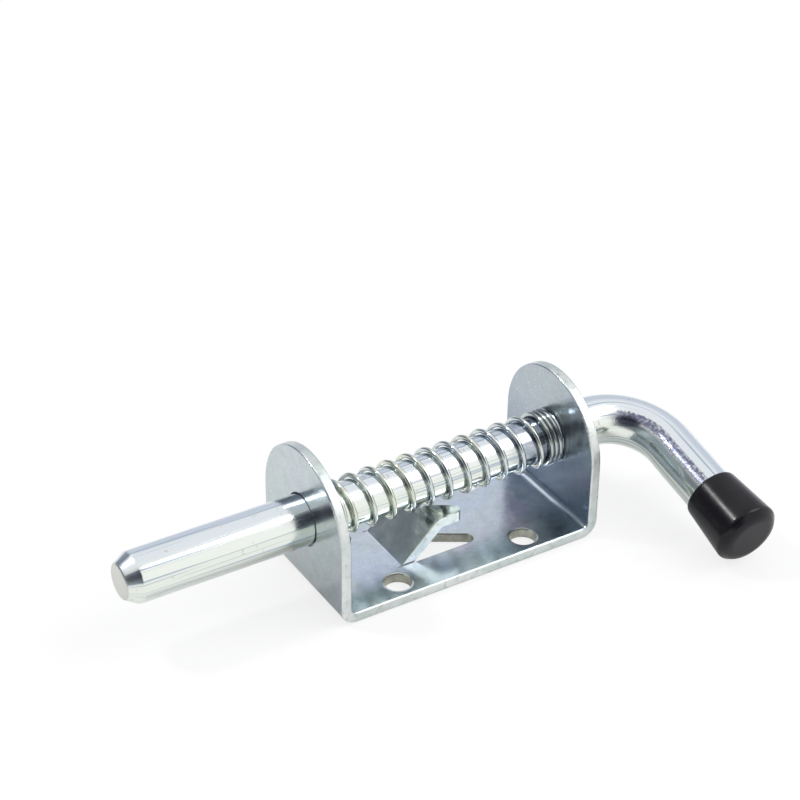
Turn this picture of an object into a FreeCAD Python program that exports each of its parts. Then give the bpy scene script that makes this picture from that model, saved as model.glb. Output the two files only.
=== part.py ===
import FreeCAD, Part
import Sketcher
import math
import os

# Spring loaded gate latch: a folded sheet bracket, a bent round bolt, its cross pin, a coil spring and an
# end cap. Millimetres. X runs along the bolt from its tip to its handle, Z is up off the mounting face.
# The origin is the centre of the bracket's base on its underside.

os.makedirs("parts", exist_ok=True)
doc = FreeCAD.newDocument("latch")
sheet = doc.addObject("Spreadsheet::Sheet", "dims")

# Every size by name: a plain number can be set by itself, and a formula follows from other sizes
SIZES = {
    # Sizes of the folded bracket
    "base_length": 69,  # over the outside of both ears
    "base_width": 35,  # width of the strip
    "sheet_thick": 2.5,  # strip thickness
    "fold_inner": 1.5,  # inside radius of the ear folds
    "fold_outer": "=fold_inner + sheet_thick",  # outside radius of the ear folds
    "axis_height": 18.7,  # bolt axis above the mounting face
    "shear_round": 0.3,  # rolled edge left by the shear
    "half_length": "=base_length / 2",  # outer face of an ear
    "half_width": "=base_width / 2",  # side edge, and radius of the ear's top
    "ear_inner": "=half_length - sheet_thick",  # inner face of an ear
    "side_clear": "=half_width + 6",  # past the side edges
    "top_clear": "=axis_height + half_width + 10",  # past the ear tops
    # Screw holes
    "hole_dia": 6.5,  # clear of an M6 bolt
    "hole_radius": "=hole_dia / 2",  # screw hole radius
    "hole_end_margin": 17.5,  # hole centre from an ear's outer face
    "hole_side_margin": 5,  # hole centre from a side edge
    "hole_long": "=half_length - hole_end_margin",  # hole centre from the middle, along the bolt
    "hole_cross": "=half_width - hole_side_margin",  # hole centre from the middle, across the bolt
    # Forked tongue, sheared out of the base and folded up
    "tongue_root": -13.2,  # fold line of the tongue
    "tongue_half": 7.8,  # half the tongue's width
    "tongue_width": "=tongue_half * 2",  # the tongue's width
    "tongue_top": 12.0,  # top face of the two prongs
    "tongue_slope": 44,  # degrees the tongue is folded up
    "tongue_rise": "=tongue_top - sheet_thick",  # rise of the sloped part
    "kink_place": "=tongue_root + tongue_rise / tan(tongue_slope * 1 deg)",  # fold line of the prongs
    "tongue_slant": "=tongue_rise / sin(tongue_slope * 1 deg)",  # length of the sloped part
    "prong_length": 6.5,  # flat part of a prong
    "prong_tip": "=kink_place + prong_length",  # end of a prong
    "prong_under": "=tongue_top - sheet_thick",  # underside of the prongs
    "fold_shift": "=sheet_thick * tan(tongue_slope * 0.5 * 1 deg)",  # underside fold offset
    "root_fold": 0.4,  # tight inside radius where the tongue leaves the base
    "root_fold_outer": "=root_fold + sheet_thick",  # outside radius there
    "kink_under": "=kink_place + fold_shift",  # underside fold of the prongs
    "root_under": "=tongue_root + fold_shift",  # underside fold at the root
    "root_inside": "=tongue_root - 1",  # inside the base metal
    "prong_fold": 1.2,  # inside radius where the prongs bend level
    "prong_fold_outer": "=prong_fold + sheet_thick",  # outside radius there
    "notch_depth": 11.6,  # notch point from the root, along the sheet
    "notch_point": "=tongue_root + notch_depth * cos(tongue_slope * 1 deg)",  # notch point in plan
    "notch_flank": 31,  # degrees of a flank to the bolt
    "notch_kink": "=(tongue_slant - notch_depth) * tan(notch_flank * 1 deg)",  # half width at the fold
    "notch_mouth": "=(tongue_slant + prong_length - notch_depth) * tan(notch_flank * 1 deg)",  # at the tips
    "notch_over": "=notch_mouth + 1 * tan(notch_flank * 1 deg)",  # one past the tips
    "notch_over_place": "=prong_tip + 1",  # one past the tips
    "prong_round": 1.5,  # corner radius of a prong's end
    "notch_room": 0.5,  # the notch cut stops this far above the base
    "notch_floor": "=sheet_thick + notch_room",  # level at which the notch cut stops
    # Opening that the tongue leaves in the base
    "lance_gap": 0.25,  # slit beside the tongue
    "open_half": "=tongue_half + lance_gap",  # half the opening's width
    "open_end": "=tongue_root + tongue_slant + prong_length",  # end of the opening's two arms
    "open_point": "=tongue_root + notch_depth",  # point of base metal between the arms
    "open_mouth": "=notch_mouth",  # half width of that metal at the arms' ends
    "open_round": 1.6,  # corner radius of the opening's arms
    # Bolt
    "bolt_dia": 12,  # bar diameter
    "bolt_radius": "=bolt_dia / 2",  # bar radius
    "bore_dia": 12.8,  # hole in each ear
    "bore_radius": "=bore_dia / 2",  # hole in each ear
    "tip_place": -79.5,  # end of the bolt
    "tip_chamfer_long": 3.3,  # along the bolt
    "tip_chamfer_deep": 1.95,  # into the bar
    "tip_edge": "=bolt_radius - tip_chamfer_deep",  # radius of the end face
    "tip_shoulder": "=tip_place + tip_chamfer_long",  # start of the full bar
    "waist_dia": 10.8,  # turned down where the spring sits
    "waist_radius": "=waist_dia / 2",  # turned down where the spring sits
    "waist_gap": 0.3,  # shoulder past the ear's inner face
    "waist_front": "=-ear_inner + waist_gap",  # front shoulder
    "waist_rear": "=ear_inner + waist_gap",  # rear shoulder
    "waist_ramp": 0.5,  # length of each shoulder's cone
    "waist_front_in": "=waist_front + waist_ramp",  # front shoulder's foot
    "waist_rear_in": "=waist_rear - waist_ramp",  # rear shoulder's foot
    "bend_place": 42.4,  # start of the handle's bend
    "bend_radius": 14.65,  # centre line radius of the bend
    "leg_place": "=bend_place + bend_radius",  # axis of the handle's leg
    "leg_end": "=-(bend_radius + 29.4)",  # end of the leg, inside the cap
    "leg_start": "=-bend_radius",  # end of the bend
    "leg_chamfer": 1.0,  # edge of the leg's end
    "handle_droop": 13,  # degrees the handle hangs below level
    # Cross pin
    "pin_dia": 3.5,  # outer diameter of the rolled pin
    "pin_radius": "=pin_dia / 2",  # outer radius of the rolled pin
    "pin_wall": 0.75,  # wall of the rolled pin
    "pin_bore": "=pin_radius - pin_wall",  # inner radius of the rolled pin
    "pin_length": 23,  # end to end
    "pin_slot": 0.6,  # gap along the rolled pin
    "pin_half_slot": "=pin_slot / 2",  # half of that gap
    "pin_chamfer": 0.4,  # edge of each end
    "pin_stop_gap": 0.1,  # pin to the ear it stops on
    "pin_place": "=-ear_inner + pin_stop_gap + pin_radius",  # axis of the pin along the bolt
    "pin_clear": "=pin_radius + 1",  # past the wall
    "pin_turn": 8,  # degrees the pin is drilled away from the handle's plane
    "pin_droop": "=handle_droop - pin_turn",  # degrees the pin slopes at rest
    # Spring
    "wire_dia": 1.15,  # spring wire
    "wire_radius": "=wire_dia / 2",  # spring wire
    "spring_clear": 0.2,  # spring to the turned waist
    "coil_radius": "=waist_radius + spring_clear + wire_radius",  # to the wire's centre
    "seat_gap": 0.05,  # spring end to what it presses on
    "spring_front": "=pin_place + pin_radius + seat_gap + wire_radius",  # centre of the first turn
    "spring_rear": "=ear_inner - seat_gap - wire_radius",  # centre of the last turn
    "closed_pitch": "=wire_dia + 0.08",  # pitch of the closed end turns
    "front_turns": 1.0,  # closed turns at the pin
    "rear_turns": 2.4,  # closed turns at the ear
    "ramp_turns": 0.6,  # turns in which the pitch changes
    "open_turns": 10.2,  # open turns
    "spring_start": 297,  # degrees round from +Y at the first turn
    "turn_points": 8,  # points that carry each turn of the wire's path
    # End cap
    "cap_start": "=bend_radius + 16.8",  # open rim, from the bolt axis
    "cap_end": "=bend_radius + 32.6",  # closed end, from the bolt axis
    "cap_rim_radius": 6.8,  # outside at the rim
    "cap_end_radius": 8.1,  # outside at the closed end
    "cap_corner": 1.5,  # length of the end's rounded corner
    "cap_face_radius": 5.3,  # flat end face
    "cap_bore": "=bolt_radius",  # gripping the bar
    "cap_rim_y": "=-cap_start",  # rim along the leg
    "cap_end_y": "=-cap_end",  # end face along the leg
    "cap_corner_y": "=-(cap_end - cap_corner)",  # start of the corner along the leg
    "cap_mid_radius": "=cap_end_radius - (cap_end_radius - cap_face_radius) * 0.3",  # middle of the corner
    "cap_mid_y": "=-(cap_end - cap_corner * 0.35)",  # middle of the corner along the leg
    "cap_lip": 0.3,  # small chamfer at the rim
    "cap_lip_radius": "=cap_rim_radius - cap_lip",  # rim chamfer
    "cap_lip_y": "=cap_rim_y - cap_lip",  # rim chamfer along the leg
}
for number, (alias, amount) in enumerate(SIZES.items(), 1):
    sheet.set("A" + str(number), alias)
    sheet.set("B" + str(number), str(amount))
    sheet.setAlias("B" + str(number), alias)
doc.recompute()


def value(alias):
    """Reads one size from the sheet as a plain number; a leading minus changes its sign."""
    if alias == "0":
        return 0.0
    if alias.startswith("-"):
        return -value(alias[1:])
    got = sheet.get(alias)
    return float(getattr(got, "Value", got))


def linked(alias):
    """The expression that ties a constraint or property to a size in the sheet."""
    if alias == "0":
        return "0"
    if alias.startswith("-"):
        return "-dims." + alias[1:]
    return "dims." + alias


def new_body(label):
    body = doc.addObject("PartDesign::Body", label)
    body.Label = label
    return body


def plane_of(body, role):
    """One of the body's own origin planes, found by its role."""
    for item in body.Origin.OriginFeatures:
        if item.Role == role:
            return item
    return None


def new_sketch(body, name, role):
    sketch = body.newObject("Sketcher::SketchObject", name)
    sketch.AttachmentSupport = [(plane_of(body, role), "")]
    sketch.MapMode = "FlatFace"
    return sketch


def outline(sketch, points):
    """Closed outline of straight lines whose corners are each tied to two sizes."""
    first = sketch.GeometryCount
    count = len(points)
    places = []
    for across, up in points:
        places.append(FreeCAD.Vector(value(across), value(up), 0))
    for i in range(count):
        sketch.addGeometry(Part.LineSegment(places[i], places[(i + 1) % count]), False)
    for i in range(count):
        sketch.addConstraint(Sketcher.Constraint("Coincident", first + i, 2, first + (i + 1) % count, 1))
    for i in range(count):
        tie_point(sketch, first + i, 1, points[i])


def tie_point(sketch, geo, end, point):
    """Ties one point of a sketch to two sizes, measured from the sketch's origin."""
    for kind, alias in (("DistanceX", point[0]), ("DistanceY", point[1])):
        spot = sketch.addConstraint(Sketcher.Constraint(kind, -1, 1, geo, end, value(alias)))
        if alias != "0":
            sketch.setExpression("Constraints[" + str(spot) + "]", linked(alias))


def circle(sketch, across, up, radius):
    """Circle whose centre and radius are tied to sizes."""
    geo = sketch.addGeometry(
        Part.Circle(FreeCAD.Vector(value(across), value(up), 0), FreeCAD.Vector(0, 0, 1), value(radius)), False)
    tie_point(sketch, geo, 3, (across, up))
    spot = sketch.addConstraint(Sketcher.Constraint("Radius", geo, value(radius)))
    sketch.setExpression("Constraints[" + str(spot) + "]", linked(radius))


def pad(body, name, sketch, alias):
    """Extrusion, half to each side of the sketch."""
    feature = body.newObject("PartDesign::Pad", name)
    feature.Profile = sketch
    feature.Midplane = True
    feature.setExpression("Length", linked(alias))
    sketch.Visibility = False
    doc.recompute()
    return feature


def through_cut(body, name, sketch):
    """Cut right through, to both sides of the sketch."""
    feature = body.newObject("PartDesign::Pocket", name)
    feature.Profile = sketch
    feature.Type = "ThroughAll"
    feature.Midplane = True
    sketch.Visibility = False
    doc.recompute()
    return feature


def edges_where(feature, test):
    """Names of a feature's edges whose middle point and length pass a test."""
    names = []
    for i, edge in enumerate(feature.Shape.Edges):
        middle = edge.valueAt(0.5 * (edge.FirstParameter + edge.LastParameter))
        if test(middle, edge):
            names.append("Edge" + str(i + 1))
    return names


def rounded(body, name, feature, names, alias):
    """Rounds the named edges of a feature by one size."""
    result = body.newObject("PartDesign::Fillet", name)
    result.Base = (feature, names)
    result.Radius = value(alias)
    result.setExpression("Radius", linked(alias))
    doc.recompute()
    return result


def bevelled(body, name, feature, names, alias):
    """Chamfers the named edges of a feature by one size."""
    result = body.newObject("PartDesign::Chamfer", name)
    result.Base = (feature, names)
    result.Size = value(alias)
    result.setExpression("Size", linked(alias))
    doc.recompute()
    return result


def near(a, b):
    return abs(a - b) < 0.02


# Bracket: the strip's section is drawn from the side and given its width
bracket = new_body("bracket")
section = new_sketch(bracket, "strip_section", "XZ_Plane")
outline(section, [
    ("-half_length", "0"), ("half_length", "0"), ("half_length", "top_clear"), ("ear_inner", "top_clear"),
    ("ear_inner", "sheet_thick"), ("-ear_inner", "sheet_thick"), ("-ear_inner", "top_clear"),
    ("-half_length", "top_clear")])
strip = pad(bracket, "strip", section, "base_width")
T = value("sheet_thick")
HL = value("half_length")
inner_folds = edges_where(strip, lambda m, e: near(m.z, T) and near(abs(m.x), value("ear_inner")) and near(m.y, 0))
folded = rounded(bracket, "inner_folds", strip, inner_folds, "fold_inner")
outer_folds = edges_where(folded, lambda m, e: near(m.z, 0) and near(abs(m.x), HL) and near(m.y, 0))
folded = rounded(bracket, "outer_folds", folded, outer_folds, "fold_outer")

# Ears: everything beyond the half round tops is cut away
arch = new_sketch(bracket, "ear_waste", "YZ_Plane")
W = value("half_width")
H = value("axis_height")
SC = value("side_clear")
TC = value("top_clear")
V = FreeCAD.Vector
arch.addGeometry([
    Part.LineSegment(V(-W, H, 0), V(-SC, H, 0)),
    Part.LineSegment(V(-SC, H, 0), V(-SC, TC, 0)),
    Part.LineSegment(V(-SC, TC, 0), V(SC, TC, 0)),
    Part.LineSegment(V(SC, TC, 0), V(SC, H, 0)),
    Part.LineSegment(V(SC, H, 0), V(W, H, 0)),
    Part.ArcOfCircle(Part.Circle(V(0, H, 0), V(0, 0, 1), W), 0, math.pi)], False)
for first, second in ((0, 1), (1, 2), (2, 3), (3, 4)):
    arch.addConstraint(Sketcher.Constraint("Coincident", first, 2, second, 1))
arch.addConstraint(Sketcher.Constraint("Coincident", 4, 2, 5, 1))
arch.addConstraint(Sketcher.Constraint("Coincident", 5, 2, 0, 1))
tie_point(arch, 5, 3, ("0", "axis_height"))
tie_point(arch, 5, 1, ("half_width", "axis_height"))
tie_point(arch, 1, 1, ("-side_clear", "axis_height"))
tie_point(arch, 3, 1, ("side_clear", "top_clear"))
tie_point(arch, 2, 1, ("-side_clear", "top_clear"))
tie_point(arch, 4, 1, ("side_clear", "axis_height"))
arch.addConstraint(Sketcher.Constraint("Horizontal", 0))
through_cut(bracket, "ear_tops", arch)

# Bolt holes through both ears on one axis
bores = new_sketch(bracket, "bore_circle", "YZ_Plane")
circle(bores, "0", "axis_height", "bore_radius")
through_cut(bracket, "bolt_holes", bores)

# Four screw holes
screws = new_sketch(bracket, "screw_circles", "XY_Plane")
circle(screws, "-hole_long", "-hole_cross", "hole_radius")
circle(screws, "hole_long", "-hole_cross", "hole_radius")
circle(screws, "hole_long", "hole_cross", "hole_radius")
circle(screws, "-hole_long", "hole_cross", "hole_radius")
through_cut(bracket, "screw_holes", screws)

# Opening left by the tongue: two arms round a point of base metal
opening = new_sketch(bracket, "opening_outline", "XY_Plane")
outline(opening, [
    ("root_inside", "-open_half"), ("open_end", "-open_half"), ("open_end", "-open_mouth"), ("open_point", "0"),
    ("open_end", "open_mouth"), ("open_end", "open_half"), ("root_inside", "open_half")])
lanced = through_cut(bracket, "opening", opening)
arm_corners = edges_where(lanced, lambda m, e: near(m.z, T / 2) and near(m.x, value("open_end"))
                          and (near(abs(m.y), value("open_half")) or near(abs(m.y), value("open_mouth"))))
lanced = rounded(bracket, "opening_corners", lanced, arm_corners, "open_round")

# Tongue: sloped up from the root, then bent level
tongue = new_sketch(bracket, "tongue_section", "XZ_Plane")
size_root = ("root_inside", "sheet_thick")
outline(tongue, [
    ("root_inside", "0"), ("root_under", "0"), ("kink_under", "prong_under"), ("prong_tip", "prong_under"),
    ("prong_tip", "tongue_top"), ("kink_place", "tongue_top"), ("tongue_root", "sheet_thick"), size_root])
blade = bracket.newObject("PartDesign::Pad", "tongue")
blade.Profile = tongue
blade.Midplane = True
blade.setExpression("Length", linked("tongue_width"))
tongue.Visibility = False
doc.recompute()
FOLDS = (
    ("prong_outer_fold", "kink_place", "tongue_top", "prong_fold_outer"),
    ("root_outer_fold", "root_under", "0", "root_fold_outer"),
    ("prong_inner_fold", "kink_under", "prong_under", "prong_fold"),
    ("root_inner_fold", "tongue_root", "sheet_thick", "root_fold"))
for name, place, level, size in FOLDS:
    fold = edges_where(blade, lambda m, e: near(m.y, 0) and near(m.x, value(place)) and near(m.z, value(level))
                       and near(e.Length, value("tongue_width")))
    blade = rounded(bracket, name, blade, fold, size)

# Notch between the prongs, cut from above down to just over the base
notch = new_sketch(bracket, "notch_outline", "XY_Plane")
notch.AttachmentOffset = FreeCAD.Placement(V(0, 0, value("notch_floor")), FreeCAD.Rotation())
notch.setExpression(".AttachmentOffset.Base.z", linked("notch_floor"))
outline(notch, [
    ("notch_point", "0"), ("kink_place", "-notch_kink"), ("notch_over_place", "-notch_over"),
    ("notch_over_place", "notch_over"), ("kink_place", "notch_kink")])
fork = bracket.newObject("PartDesign::Pocket", "notch")
fork.Profile = notch
fork.Reversed = True
fork.setExpression("Length", linked("tongue_top"))
notch.Visibility = False
doc.recompute()
corners = edges_where(fork, lambda m, e: near(m.x, value("prong_tip")) and m.z > value("prong_under")
                      and m.z < value("tongue_top") and near(e.Length, T))
fork = rounded(bracket, "prong_corners", fork, corners, "prong_round")

# Rolled edges left by the shear along the strip's sides and round the ears
rim = edges_where(fork, lambda m, e: (m.y * m.y + max(m.z - H, 0.0) ** 2) > (W - 0.05) ** 2 and e.Length > T * 0.8
                  and not (near(e.Length, T)))
fork = rounded(bracket, "rolled_edges", fork, rim, "shear_round")

# Bolt: turned bar with a chamfered tip and a waist for the spring, bent square for the handle
bolt = new_body("bolt")
half = new_sketch(bolt, "bar_half", "XY_Plane")
outline(half, [
    ("tip_place", "0"), ("tip_place", "tip_edge"), ("tip_shoulder", "bolt_radius"), ("waist_front", "bolt_radius"),
    ("waist_front_in", "waist_radius"), ("waist_rear_in", "waist_radius"), ("waist_rear", "bolt_radius"),
    ("bend_place", "bolt_radius"), ("bend_place", "0")])
turned = bolt.newObject("PartDesign::Revolution", "turned_bar")
turned.Profile = half
turned.ReferenceAxis = (half, ["H_Axis"])
turned.Angle = 360
half.Visibility = False
doc.recompute()
path = new_sketch(bolt, "handle_path", "XY_Plane")
B = value("bend_place")
R = value("bend_radius")
LP = value("leg_place")
path.addGeometry([
    Part.ArcOfCircle(Part.Circle(V(B, -R, 0), V(0, 0, 1), R), 0, math.pi / 2),
    Part.LineSegment(V(LP, -R, 0), V(LP, value("leg_end"), 0))], False)
path.addConstraint(Sketcher.Constraint("Coincident", 0, 1, 1, 1))
path.addConstraint(Sketcher.Constraint("Vertical", 1))
tie_point(path, 0, 3, ("bend_place", "leg_start"))
tie_point(path, 0, 2, ("bend_place", "0"))
spot = path.addConstraint(Sketcher.Constraint("DistanceY", -1, 1, 1, 1, value("leg_start")))
path.setExpression("Constraints[" + str(spot) + "]", linked("leg_start"))
spot = path.addConstraint(Sketcher.Constraint("DistanceY", -1, 1, 1, 2, value("leg_end")))
path.setExpression("Constraints[" + str(spot) + "]", linked("leg_end"))
ring = new_sketch(bolt, "bar_circle", "YZ_Plane")
ring.AttachmentOffset = FreeCAD.Placement(V(0, 0, B), FreeCAD.Rotation())
ring.setExpression(".AttachmentOffset.Base.z", linked("bend_place"))
circle(ring, "0", "0", "bolt_radius")
doc.recompute()
handle = bolt.newObject("PartDesign::AdditivePipe", "handle")
handle.Profile = ring
handle.Spine = (path, ["Edge1", "Edge2"])
path.Visibility = False
ring.Visibility = False
doc.recompute()
end_ring = edges_where(handle, lambda m, e: near(m.y, value("leg_end")))
handle = bevelled(bolt, "leg_edge", handle, end_ring, "leg_chamfer")
pin_seat = new_sketch(bolt, "pin_circle", "XZ_Plane")
pin_seat.AttachmentOffset = FreeCAD.Placement(V(0, 0, 0), FreeCAD.Rotation(V(-1, 0, 0), value("pin_turn")))
pin_seat.setExpression(".AttachmentOffset.Rotation.Angle", "dims.pin_turn * 1 deg")
circle(pin_seat, "pin_place", "0", "pin_radius")
through_cut(bolt, "pin_hole", pin_seat)

# Cross pin: a rolled hollow pin, slit along its length
cross_pin = new_body("cross_pin")
pin_ring = new_sketch(cross_pin, "pin_ring", "XZ_Plane")
circle(pin_ring, "pin_place", "0", "pin_radius")
circle(pin_ring, "pin_place", "0", "pin_bore")
tube = pad(cross_pin, "pin_tube", pin_ring, "pin_length")
pin_ends = edges_where(tube, lambda m, e: abs(m.y) > 1 and e.Length > 2 * math.pi * (value("pin_radius") - 0.1))
tube = bevelled(cross_pin, "pin_ends", tube, pin_ends, "pin_chamfer")
slit = new_sketch(cross_pin, "pin_slit", "XZ_Plane")
size_slit = value("pin_half_slot")
PP = value("pin_place")
PC = value("pin_clear")
slit.addGeometry([
    Part.LineSegment(V(PP - size_slit, 0, 0), V(PP + size_slit, 0, 0)),
    Part.LineSegment(V(PP + size_slit, 0, 0), V(PP + size_slit, PC, 0)),
    Part.LineSegment(V(PP + size_slit, PC, 0), V(PP - size_slit, PC, 0)),
    Part.LineSegment(V(PP - size_slit, PC, 0), V(PP - size_slit, 0, 0))], False)
for i in range(4):
    slit.addConstraint(Sketcher.Constraint("Coincident", i, 2, (i + 1) % 4, 1))
slit.addConstraint(Sketcher.Constraint("Horizontal", 0))
slit.addConstraint(Sketcher.Constraint("Horizontal", 2))
slit.addConstraint(Sketcher.Constraint("Vertical", 1))
slit.addConstraint(Sketcher.Constraint("Vertical", 3))
spot = slit.addConstraint(Sketcher.Constraint("DistanceX", -1, 1, 0, 1, PP - size_slit))
slit.setExpression("Constraints[" + str(spot) + "]", "dims.pin_place - dims.pin_half_slot")
spot = slit.addConstraint(Sketcher.Constraint("DistanceX", -1, 1, 0, 2, PP + size_slit))
slit.setExpression("Constraints[" + str(spot) + "]", "dims.pin_place + dims.pin_half_slot")
slit.addConstraint(Sketcher.Constraint("DistanceY", -1, 1, 0, 1, 0.0))
spot = slit.addConstraint(Sketcher.Constraint("DistanceY", -1, 1, 1, 2, PC))
slit.setExpression("Constraints[" + str(spot) + "]", linked("pin_clear"))
through_cut(cross_pin, "pin_slot", slit)

# Spring: the wire follows a helix whose pitch closes up at both ends
front_turns = value("front_turns")
rear_turns = value("rear_turns")
ramp_turns = value("ramp_turns")
open_turns = value("open_turns")
closed_pitch = value("closed_pitch")
span = value("spring_rear") - value("spring_front")
open_pitch = (span - closed_pitch * (front_turns + rear_turns + ramp_turns)) / (open_turns + ramp_turns)
total_turns = front_turns + rear_turns + 2 * ramp_turns + open_turns


def pitch_at(turn):
    """Pitch of the wire at a turn count from the front end."""
    from_front = (turn - front_turns) / ramp_turns
    from_rear = (total_turns - rear_turns - turn) / ramp_turns
    part = min(max(min(from_front, from_rear), 0.0), 1.0)
    return closed_pitch + (open_pitch - closed_pitch) * part


step_count = int(round(total_turns * value("turn_points")))
step = total_turns / step_count
points = []
along = value("spring_front")
for i in range(step_count + 1):
    angle = math.radians(value("spring_start")) + 2 * math.pi * i * step
    points.append(V(along, value("coil_radius") * math.cos(angle), value("coil_radius") * math.sin(angle)))
    along = along + step * pitch_at((i + 0.5) * step)
curve = Part.BSplineCurve()
curve.interpolate(points)
wire_path = doc.addObject("Part::Feature", "wire_path")
wire_path.Shape = Part.Wire([curve.toShape()])
wire_section = doc.addObject("Part::Circle", "wire_section")
wire_section.setExpression("Radius", linked("wire_radius"))
heading = curve.tangent(curve.FirstParameter)[0]
wire_section.Placement = FreeCAD.Placement(points[0], FreeCAD.Rotation(V(0, 0, 1), heading))
doc.recompute()
spring = doc.addObject("Part::Sweep", "spring")
spring.Label = "spring"
spring.Sections = [wire_section]
spring.Spine = (wire_path, ["Edge1"])
spring.Solid = True
spring.Frenet = True
doc.recompute()

# End cap: a tapered plastic cap pushed over the leg
handle_cap = new_body("handle_cap")
cap_half = new_sketch(handle_cap, "cap_half", "XY_Plane")
outline(cap_half, [
    ("0", "cap_end_y"), ("cap_face_radius", "cap_end_y"), ("cap_mid_radius", "cap_mid_y"),
    ("cap_end_radius", "cap_corner_y"), ("cap_rim_radius", "cap_lip_y"), ("cap_lip_radius", "cap_rim_y"),
    ("cap_bore", "cap_rim_y"), ("cap_bore", "leg_end"), ("0", "leg_end")])
cap_turn = handle_cap.newObject("PartDesign::Revolution", "cap_turned")
cap_turn.Profile = cap_half
cap_turn.ReferenceAxis = (cap_half, ["V_Axis"])
cap_turn.Angle = 360
cap_half.Visibility = False
doc.recompute()

# Each piece in its place: the handle hangs below level until its cap all but touches the mounting face
for moving, droop in ((bolt, "handle_droop"), (cross_pin, "pin_droop"), (handle_cap, "handle_droop")):
    moving.Placement = FreeCAD.Placement(V(0, 0, H), FreeCAD.Rotation(V(1, 0, 0), value(droop)))
    moving.setExpression(".Placement.Base.z", "dims.axis_height")
    moving.setExpression(".Placement.Rotation.Angle", linked(droop) + " * 1 deg")
handle_cap.setExpression(".Placement.Base.x", linked("leg_place"))
spring.Placement = FreeCAD.Placement(V(0, 0, H), FreeCAD.Rotation())
spring.setExpression(".Placement.Base.z", "dims.axis_height")
doc.recompute()

# Checks and files
for item in doc.Objects:
    if "Invalid" in item.State or "Error" in item.State:
        raise RuntimeError("feature not made: " + item.Name)
for node in (bracket, bolt, cross_pin, spring, handle_cap):
    shape = node.Shape
    if shape.isNull() or not shape.isValid():
        raise RuntimeError("no sound shape: " + node.Label)
    shape.exportStep("parts/" + node.Label + ".step")
    box = shape.BoundBox
    print(node.Label, "solids", len(shape.Solids), "volume", round(shape.Volume, 1), "box",
          round(box.XMin, 2), round(box.XMax, 2), round(box.YMin, 2), round(box.YMax, 2),
          round(box.ZMin, 2), round(box.ZMax, 2))
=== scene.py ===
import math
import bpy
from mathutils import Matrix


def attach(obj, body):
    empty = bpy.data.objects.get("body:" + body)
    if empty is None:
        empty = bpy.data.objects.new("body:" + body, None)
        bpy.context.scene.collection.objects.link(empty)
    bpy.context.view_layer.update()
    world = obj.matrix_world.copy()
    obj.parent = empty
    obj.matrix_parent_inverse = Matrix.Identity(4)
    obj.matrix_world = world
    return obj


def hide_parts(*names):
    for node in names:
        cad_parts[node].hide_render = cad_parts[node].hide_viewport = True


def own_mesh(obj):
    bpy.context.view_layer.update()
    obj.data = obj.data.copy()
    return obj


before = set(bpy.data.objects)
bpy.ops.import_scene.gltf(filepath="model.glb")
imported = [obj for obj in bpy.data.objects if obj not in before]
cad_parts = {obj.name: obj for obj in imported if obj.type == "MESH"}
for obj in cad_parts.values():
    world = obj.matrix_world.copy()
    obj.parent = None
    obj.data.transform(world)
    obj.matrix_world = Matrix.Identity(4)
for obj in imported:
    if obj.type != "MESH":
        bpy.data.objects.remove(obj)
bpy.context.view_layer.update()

# %% [markdown]
# # A spring loaded gate latch
# The latch is a sheet bracket folded into a U, a bent round bolt that slides and turns in it, a coil
# spring, a rolled cross pin and a plastic end cap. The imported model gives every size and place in
# metres: X along the bolt, Z up off the mounting face. Here each piece gets its fine shape and finish.

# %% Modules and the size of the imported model
from types import SimpleNamespace

import bpy
import numpy as np
from mathutils import Matrix, Vector

MM = 0.001

# %% [markdown]
# ## Sizes
# The latch's sizes in millimetres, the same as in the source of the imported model, which judged them from
# the photo and from usual stock sizes. The cap and the coils have a few finer ones of their own. Shapes
# are worked out in millimetres and scaled to metres once, when their mesh is made.

# %% Sizes in millimetres
AXIS_HEIGHT = 18.7
DROOP = math.radians(13)

SHEET = 2.5
HALF_WIDTH = 17.5
EAR_INNER = 32.0
SCREW_PLACE = (17.0, 12.5)
SCREW_RADIUS = 3.25
TONGUE_HALF_WIDTH = 7.8

BAR_RADIUS = 6.0
TIP_PLACE = -79.5
TIP_RADIUS = 4.05
TIP_CHAMFER = 3.3
WAIST_RADIUS = 5.4
WAIST_FRONT = -31.7
WAIST_REAR = 32.3
WAIST_CONE = 0.5
BEND_PLACE = 42.4
BEND_RADIUS = 14.65
LEG_END = BEND_RADIUS + 29.4
LEG_CHAMFER = 1.0

CAP_RIM = BEND_RADIUS + 16.8
CAP_END = BEND_RADIUS + 32.6
CAP_FACE = CAP_END - 0.02
CAP_GRIP = 2.0
CAP_GRIP_RADIUS = 6.02
CAP_LIP_IN, CAP_LIP_OUT = 0.1, 0.15
CAP_LIP_RADIUS = 6.35
CAP_RIM_RADIUS = 6.75
CAP_SHOULDER = 1.9
CAP_WIDEST_RADIUS = 8.07
CAP_CROWN = 0.45
CAP_CROWN_RADIUS = 6.7
CAP_FACE_RADIUS = 5.4

PIN_REAR = -28.4
WIRE_RADIUS = 0.575
COIL_RADIUS = WAIST_RADIUS + 0.2 + WIRE_RADIUS
SEAT_GAP = 0.05
SPRING_FRONT = PIN_REAR + SEAT_GAP + WIRE_RADIUS
SPRING_REAR = EAR_INNER - SEAT_GAP - WIRE_RADIUS
CLOSED_PITCH = 2 * WIRE_RADIUS + 0.08
FRONT_TURNS, REAR_TURNS, RAMP_TURNS, OPEN_TURNS = 1.0, 2.4, 0.6, 10.2
START_ANGLE = math.radians(297)
print("spring from", SPRING_FRONT, "to", SPRING_REAR, "mm along the bolt")

# %% [markdown]
# ## Turning arrays of points into pieces
# Every new surface is a grid of points. The helpers join a grid into faces, close its seam and its two
# ends, and keep how far along and how far round each point lies as the piece's UV map, so that a finish
# can follow the surface.

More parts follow.
